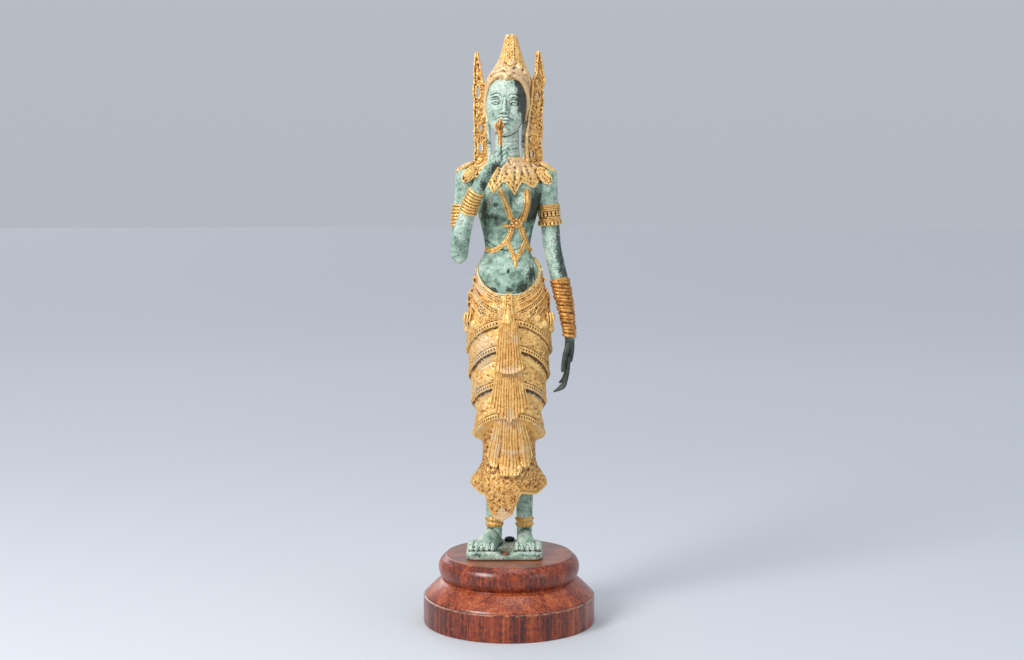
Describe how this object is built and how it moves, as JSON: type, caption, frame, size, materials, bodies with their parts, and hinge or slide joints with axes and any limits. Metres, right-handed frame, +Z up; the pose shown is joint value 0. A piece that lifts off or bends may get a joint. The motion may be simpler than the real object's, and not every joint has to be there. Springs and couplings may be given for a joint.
{
  "type": "thai dancer statue",
  "caption": "Standing Thai dancer in cast bronze with tall crown, flame ear ornaments and draped skirt, one hand raised with a bud, on a turned hardwood plinth.",
  "frame": {"origin": "centre of the plinth's underside, on the surface it stands on", "axes": "+Z up through the figure, the figure faces -Y, +X is on the viewer's right when facing it"},
  "size_m": [0.171, 0.171, 0.5792],
  "materials": {
    "bronze": "verdigris patina, worn dark in places",
    "gilt": "worn gilding over bronze",
    "hardwood": "satin polish",
    "copper": "dull copper colour",
    "dark_iron": "blackened"
  },
  "bodies": {
    "root": {"figure": "bronze", "plinth": "hardwood", "front_screw": "copper", "rear_bolt": "dark_iron"}
  },
  "joints": []
}
